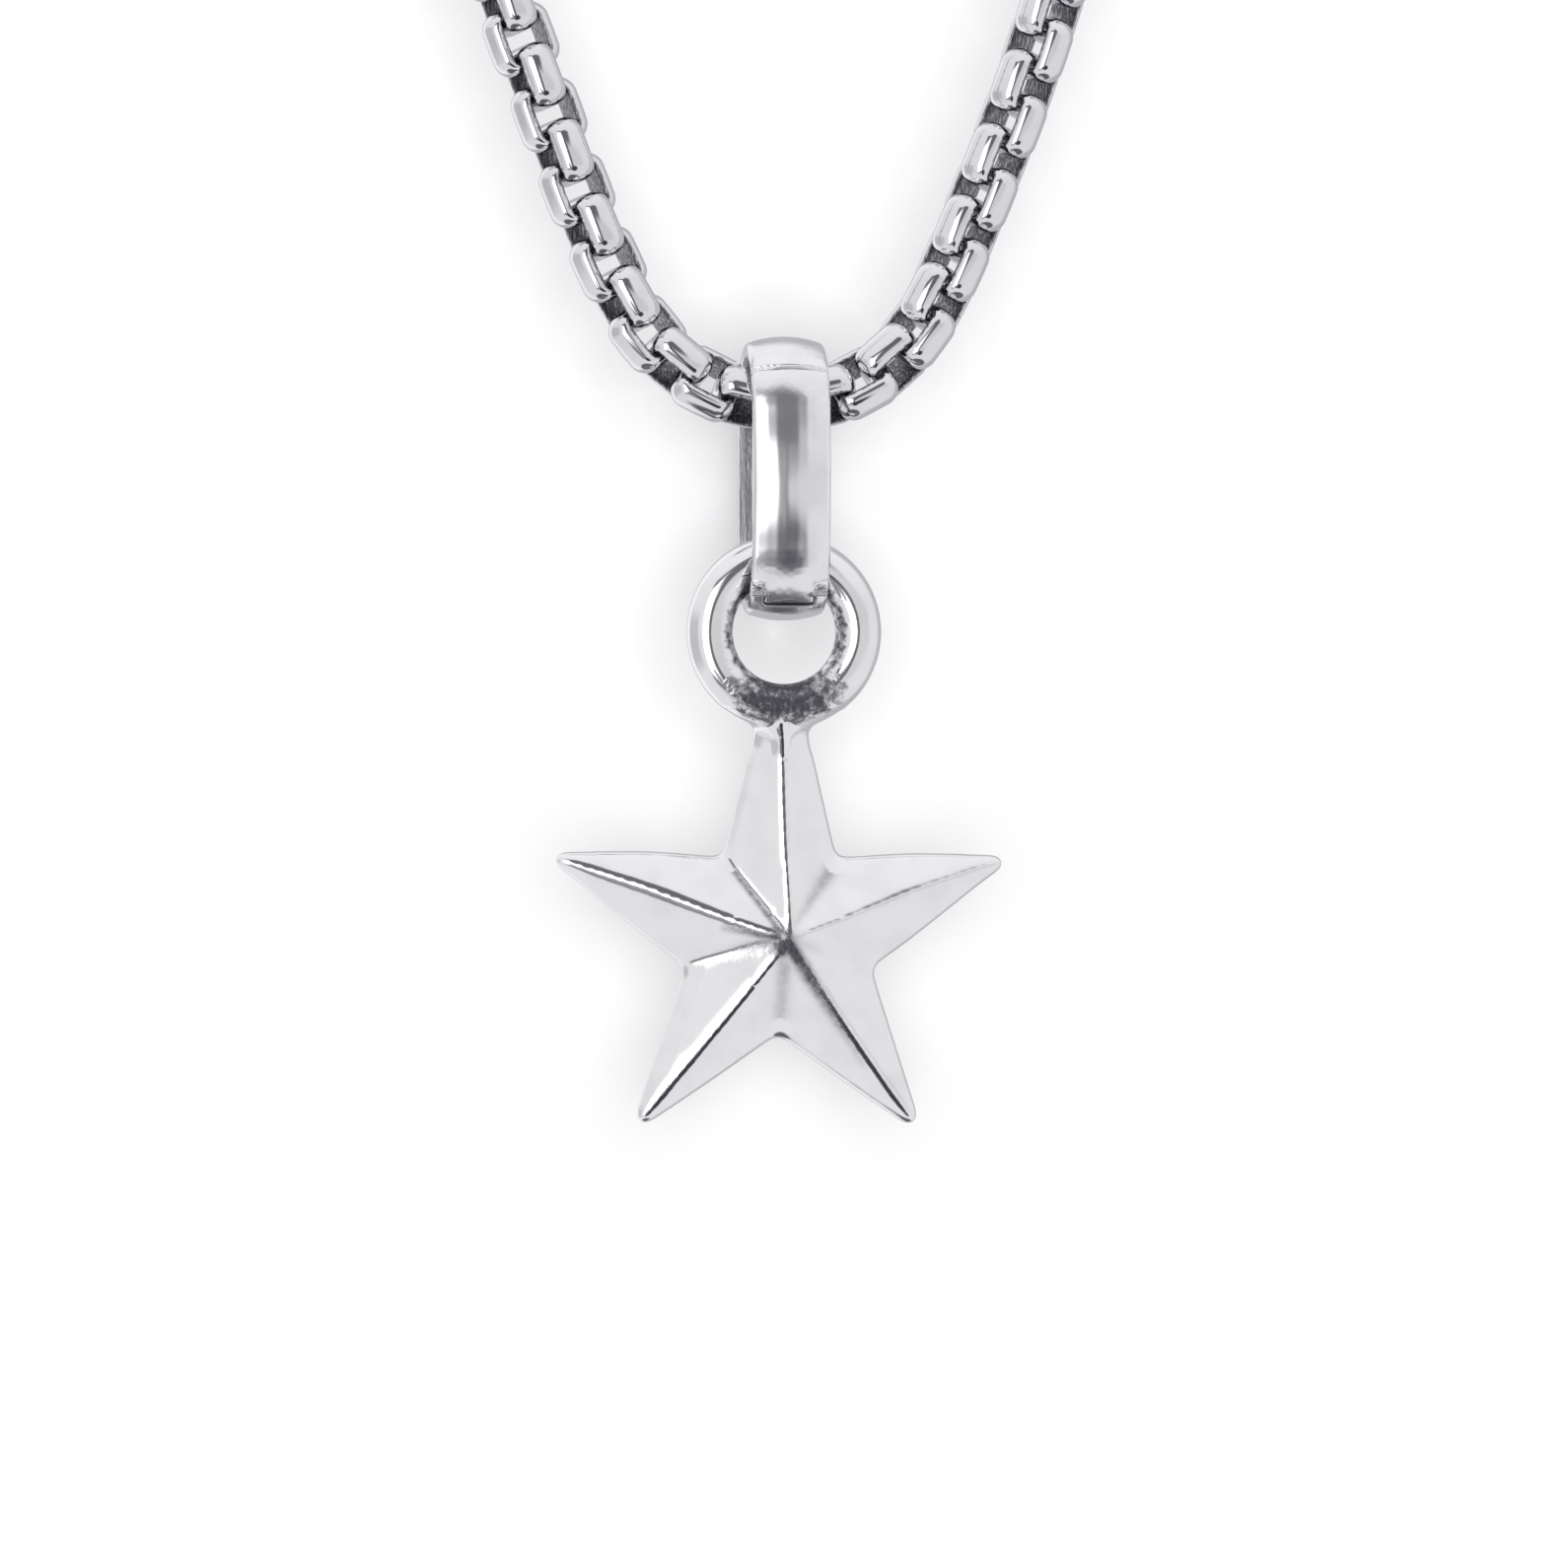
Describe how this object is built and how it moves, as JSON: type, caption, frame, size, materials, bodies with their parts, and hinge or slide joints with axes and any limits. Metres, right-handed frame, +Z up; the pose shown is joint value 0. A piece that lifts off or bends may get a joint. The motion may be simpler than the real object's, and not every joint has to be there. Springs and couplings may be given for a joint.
{
  "type": "star pendant",
  "caption": "Faceted star pendant with a cast ring, hung by a hinged loop bail from a whole loop of rounded box chain with a plain clasp.",
  "frame": {"origin": "where the chain rests at the nape, on the upper edge of the clasp in the middle of the loop", "axes": "+Z up, the pendant hangs along -Z, its raised face looks along -Y, X across the wearer"},
  "size_m": [0.1038, 0.0056, 0.2736],
  "materials": {
    "star_silver": "polished cast silver",
    "bail_silver": "polished silver",
    "chain_silver": "polished silver",
    "clasp_silver": "polished silver"
  },
  "bodies": {
    "chain": {"chain_front": "chain_silver", "chain_left": "chain_silver", "chain_right": "chain_silver", "cap_left": "clasp_silver", "cap_right": "clasp_silver", "ring_left": "clasp_silver", "ring_right": "clasp_silver", "clasp": "clasp_silver"},
    "bail": {"bail_body": "bail_silver", "hinge_pin": "bail_silver"},
    "gate": {"bail_gate": "bail_silver"},
    "star": {"star": "star_silver"}
  },
  "joints": [
    {"name": "bail_swing", "type": "hinge", "parent": "chain", "child": "bail", "pos_m": [0, 0, -0.2441], "axis": [1, 0, 0], "range_deg": [-90, 90]},
    {"name": "star_swing", "type": "hinge", "parent": "bail", "child": "star", "pos_m": [0, 0, -0.25035], "axis": [1, 0, 0], "range_deg": [-90, 90]},
    {"name": "gate_hinge", "type": "hinge", "parent": "bail", "child": "gate", "pos_m": [0, -0.00162, -0.2518], "axis": [1, 0, 0], "range_deg": [0, 35]}
  ]
}
